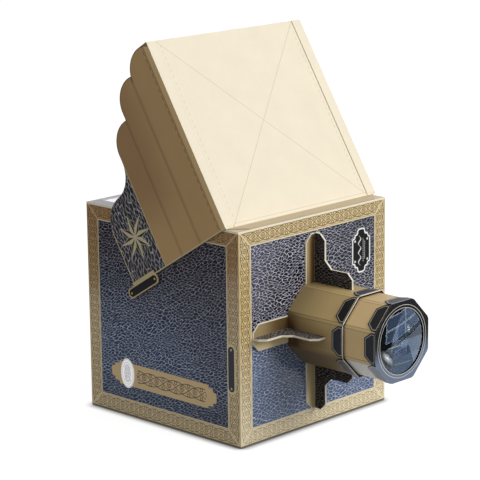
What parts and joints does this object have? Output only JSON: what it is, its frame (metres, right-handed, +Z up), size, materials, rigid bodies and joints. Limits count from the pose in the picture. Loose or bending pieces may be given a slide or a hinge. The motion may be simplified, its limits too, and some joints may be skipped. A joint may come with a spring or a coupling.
{
  "type": "camera obscura",
  "caption": "Table camera obscura of folded card: a cubic box with an octagonal focusing lens tube, an inner slanted mirror, a screen in the top and a hinged light hood with scalloped wings.",
  "frame": {"origin": "middle of the box's underside", "axes": "+Z up, the lens looks along -Y, +X to the right seen from the front"},
  "size_m": [0.165, 0.2444, 0.2878],
  "materials": {
    "leather_print": "satin",
    "gold_card": "satin",
    "tan_card": "matte",
    "cream_card": "matte",
    "dark_card": "satin",
    "black_card": "matte",
    "screen_film": "matte",
    "mirror_face": "polished",
    "lens_glass": "polished"
  },
  "bodies": {
    "box": {"bottom_panel": "tan_card", "front_panel": "leather_print", "back_panel": "leather_print", "left_panel": "leather_print", "right_panel": "leather_print", "top_frame": "cream_card", "focusing_screen": "screen_film", "mirror_board": "black_card", "mirror_sheet": "mirror_face", "mirror_rail_left": "black_card", "mirror_rail_right": "black_card", "outer_tube": "gold_card", "outer_collar": "dark_card", "bracket_top": "leather_print", "bracket_left": "leather_print", "bracket_bottom": "leather_print", "bracket_right": "leather_print", "hinge_strip": "cream_card"},
    "hood": {"hood_lid": "cream_card", "hood_wing_left": "tan_card", "hood_wing_right": "tan_card", "wing_tab_left": "dark_card", "wing_tab_right": "dark_card"},
    "lens_tube": {"inner_tube": "gold_card", "lens_collar": "dark_card", "lens_holder": "black_card", "lens": "lens_glass", "lens_back_ring": "black_card"}
  },
  "joints": [
    {"name": "hood_hinge", "type": "hinge", "parent": "box", "child": "hood", "pos_m": [0, -0.0682, 0.161], "axis": [1, 0, 0], "range_deg": [-58.4, 0]},
    {"name": "focus_slide", "type": "slide", "parent": "box", "child": "lens_tube", "axis": [0, -1, 0], "range_m": [-0.018, 0.03]}
  ]
}
